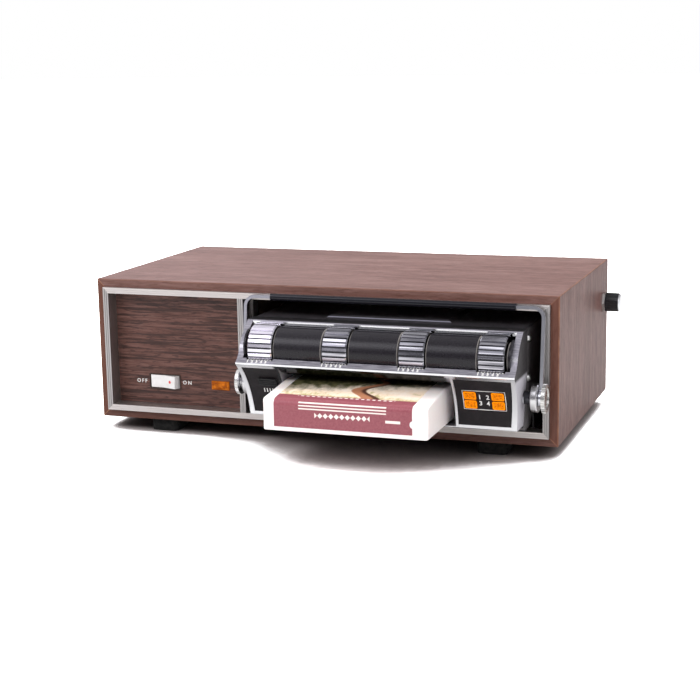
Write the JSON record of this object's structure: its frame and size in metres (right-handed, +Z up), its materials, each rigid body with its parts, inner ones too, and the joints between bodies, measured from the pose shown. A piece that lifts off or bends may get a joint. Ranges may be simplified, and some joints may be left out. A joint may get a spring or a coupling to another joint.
{
  "type": "eight-track tape player",
  "caption": "Walnut table cabinet with aluminium edge trim, a rocker power switch, and a plug-in chrome tape deck with a thumbwheel barrel, a pull handle and a cartridge in its slot.",
  "frame": {"origin": "centre of the whole player's outline, on the surface that its feet stand on", "axes": "+X to the player's right as seen from the front, +Y towards its back, +Z up"},
  "size_m": [0.3168, 0.235, 0.1004],
  "materials": {
    "walnut": "walnut-grain vinyl on particle board",
    "hardboard": "dark hardboard",
    "trim_aluminium": "satin, finely grooved",
    "bright_chrome": "polished plating",
    "worn_chrome": "plated, a little worn",
    "black_steel": "satin black paint",
    "zinc_steel": "zinc plated",
    "black_plastic": "satin black",
    "gloss_black": "glossy black",
    "plated_plastic": "chrome plated plastic",
    "white_plastic": "glossy white",
    "pale_pink": "moulded, satin",
    "label_paper": "printed paper",
    "amber": "translucent amber",
    "fascia_black": "black enamel",
    "rubber": "moulded rubber",
    "brass": "machined",
    "laminated_steel": "varnished laminations and winding",
    "circuit_board": "phenolic board",
    "tape": "wound tape on a moulded reel"
  },
  "bodies": {
    "cabinet": {"cabinet_top": "walnut", "cabinet_bottom": "walnut", "cabinet_sides": "walnut", "back_panel": "hardboard", "partition": "hardboard", "control_panel": "walnut", "long_trims": "trim_aluminium", "short_trims": "trim_aluminium", "trim_divider": "trim_aluminium", "cabinet_screws": "zinc_steel", "rubber_feet": "rubber", "rocker_switch": "black_plastic", "pilot_lamp": "amber", "transformer": "laminated_steel", "power_board": "circuit_board", "side_control": "zinc_steel", "output_jacks": "zinc_steel", "cord_gland": "rubber", "dock_tray": "black_steel", "dock_socket": "black_plastic"},
    "deck": {"deck_chassis": "black_steel", "deck_cover": "black_steel", "deck_screws": "zinc_steel", "front_bezel": "bright_chrome", "left_fascia": "fascia_black", "right_fascia": "fascia_black", "indicator_lenses": "amber", "lamp_block": "black_plastic", "control_barrels": "black_plastic", "wheel_axle": "worn_chrome", "spacer_discs": "worn_chrome", "guide_channel": "zinc_steel", "mech_plate": "zinc_steel", "drive_motor": "zinc_steel", "drive_belt": "rubber", "solenoid": "laminated_steel", "circuit_board": "circuit_board"},
    "rocker": {"rocker_button": "white_plastic"},
    "side_dial": {"side_knob": "gloss_black"},
    "volume": {"volume_wheel": "plated_plastic"},
    "balance": {"balance_wheel": "plated_plastic"},
    "bass": {"bass_wheel": "plated_plastic"},
    "treble": {"treble_wheel": "plated_plastic"},
    "handle": {"handle_strap": "bright_chrome", "handle_grip": "gloss_black"},
    "left_knob": {"left_thumb_knob": "worn_chrome"},
    "right_knob": {"right_thumb_knob": "worn_chrome"},
    "capstan_wheel": {"flywheel": "zinc_steel"},
    "motor_rotor": {"motor_pulley": "brass"},
    "playback_head": {"tape_head": "worn_chrome", "head_carriage": "brass"},
    "channel_cam": {"step_cam": "white_plastic"},
    "button": {"program_button": "black_plastic"},
    "plunger": {"solenoid_plunger": "zinc_steel"},
    "detent": {"detent_arm": "zinc_steel"},
    "cartridge": {"cartridge_base": "pale_pink", "cartridge_lid": "pale_pink", "cartridge_label": "label_paper"},
    "reel": {"tape_reel": "tape"},
    "roller": {"pinch_roller": "rubber"}
  },
  "joints": [
    {"name": "deck_slide", "type": "slide", "parent": "cabinet", "child": "deck", "axis": [0, -1, 0], "range_m": [0, 0.11]},
    {"name": "handle_swing", "type": "hinge", "parent": "deck", "child": "handle", "pos_m": [0.04244, -0.0635, 0.0409], "axis": [1, 0, 0], "range_deg": [0, 80]},
    {"name": "left_knob_turn", "type": "hinge", "parent": "deck", "child": "left_knob", "pos_m": [-0.04396, -0.0635, 0.0409], "axis": [-1, 0, 0], "range_deg": [0, 360]},
    {"name": "right_knob_turn", "type": "hinge", "parent": "deck", "child": "right_knob", "pos_m": [0.12884, -0.0635, 0.0409], "axis": [1, 0, 0], "range_deg": [0, 360]},
    {"name": "volume_turn", "type": "hinge", "parent": "deck", "child": "volume", "pos_m": [0.04244, -0.0765, 0.0664], "axis": [1, 0, 0], "range_deg": [-135, 135]},
    {"name": "balance_turn", "type": "hinge", "parent": "deck", "child": "balance", "pos_m": [0.04244, -0.0765, 0.0664], "axis": [1, 0, 0], "range_deg": [-135, 135]},
    {"name": "bass_turn", "type": "hinge", "parent": "deck", "child": "bass", "pos_m": [0.04244, -0.0765, 0.0664], "axis": [1, 0, 0], "range_deg": [-135, 135]},
    {"name": "treble_turn", "type": "hinge", "parent": "deck", "child": "treble", "pos_m": [0.04244, -0.0765, 0.0664], "axis": [1, 0, 0], "range_deg": [-135, 135]},
    {"name": "program_press", "type": "slide", "parent": "deck", "child": "button", "axis": [0, 1, 0], "range_m": [0, 0.0012], "stiffness_N_per_m": 150},
    {"name": "cartridge_slide", "type": "slide", "parent": "deck", "child": "cartridge", "axis": [0, -1, 0], "range_m": [0, 0.115]},
    {"name": "rocker_tilt", "type": "hinge", "parent": "cabinet", "child": "rocker", "pos_m": [-0.11595, -0.0413, 0.0324], "axis": [0, 0, 1], "range_deg": [0, 22]},
    {"name": "side_knob_turn", "type": "hinge", "parent": "cabinet", "child": "side_dial", "pos_m": [0.14665, 0.0958, 0.0727], "axis": [1, 0, 0], "range_deg": [-150, 150]},
    {"name": "capstan_spin", "type": "hinge", "parent": "deck", "child": "capstan_wheel", "pos_m": [0.06754, 0.0192, 0.0542], "axis": [0, 0, 1], "continuous": true},
    {"name": "motor_spin", "type": "hinge", "parent": "deck", "child": "motor_rotor", "pos_m": [0.00644, 0.0625, 0.0542], "axis": [0, 0, 1], "continuous": true},
    {"name": "roller_spin", "type": "hinge", "parent": "cartridge", "child": "roller", "pos_m": [0.06754, 0.0063, 0.0247], "axis": [0, 0, 1], "continuous": true},
    {"name": "reel_spin", "type": "hinge", "parent": "cartridge", "child": "reel", "pos_m": [0.03374, -0.0553, 0.0247], "axis": [0, 0, 1], "continuous": true},
    {"name": "cam_turn", "type": "hinge", "parent": "deck", "child": "channel_cam", "pos_m": [0.01044, 0.0345, 0.0234], "axis": [0, 0, 1], "range_deg": [0, 270]},
    {"name": "head_lift", "type": "slide", "parent": "deck", "child": "playback_head", "axis": [0, 0, 1], "range_m": [0, 0.0019]},
    {"name": "plunger_pull", "type": "slide", "parent": "deck", "child": "plunger", "axis": [-1, 0, 0], "range_m": [0, 0.003], "stiffness_N_per_m": 200},
    {"name": "detent_swing", "type": "hinge", "parent": "deck", "child": "detent", "pos_m": [0.09794, -0.0295, 0.0471], "axis": [0, 0, 1], "range_deg": [0, 8], "stiffness_Nm_per_rad": 0.3}
  ],
  "couplings": [
    {"joint": "motor_spin", "follows": "capstan_spin", "ratio": 6.6667},
    {"joint": "roller_spin", "follows": "capstan_spin", "ratio": -0.14545},
    {"joint": "reel_spin", "follows": "capstan_spin", "ratio": -0.04},
    {"joint": "cam_turn", "follows": "head_lift", "rad_per_m": 2480.2}
  ]
}
